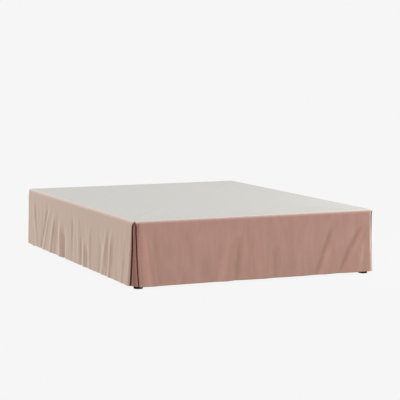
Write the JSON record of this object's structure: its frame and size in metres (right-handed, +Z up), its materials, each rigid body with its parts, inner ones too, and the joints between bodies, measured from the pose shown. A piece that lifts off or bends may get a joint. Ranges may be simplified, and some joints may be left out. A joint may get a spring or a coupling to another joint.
{
  "type": "bed skirt on bed base",
  "caption": "Tailored cloth bed skirt with pleated foot corners, hanging from its flat deck to just above the floor round a plain wooden bed base on round feet.",
  "frame": {"origin": "on the floor, under the middle of the bed", "axes": "+Z up, -Y towards the foot end, +Y towards the open head end, +X towards the bed's right side seen from the foot"},
  "size_m": [1.5535, 2.0588, 0.382],
  "materials": {
    "skirt_cloth": "dusty pink short-pile cloth, soft and matt",
    "deck_cloth": "off-white plain weave, matt",
    "base_wood": "plain softwood, satin",
    "foot_plastic": "black moulded plastic"
  },
  "bodies": {
    "root": {"deck": "deck_cloth", "drop_left": "skirt_cloth", "drop_foot": "skirt_cloth", "drop_right": "skirt_cloth", "pleat_left": "skirt_cloth", "pleat_right": "skirt_cloth", "bed_board": "base_wood", "post_foot_left": "base_wood", "post_foot_right": "base_wood", "post_head_left": "base_wood", "post_head_right": "base_wood", "post_centre": "base_wood", "rail_left": "base_wood", "rail_right": "base_wood", "rail_foot": "base_wood", "rail_head": "base_wood", "beam_centre": "base_wood", "foot_foot_left": "foot_plastic", "foot_foot_right": "foot_plastic", "foot_head_left": "foot_plastic", "foot_head_right": "foot_plastic", "foot_centre": "foot_plastic"}
  },
  "joints": []
}
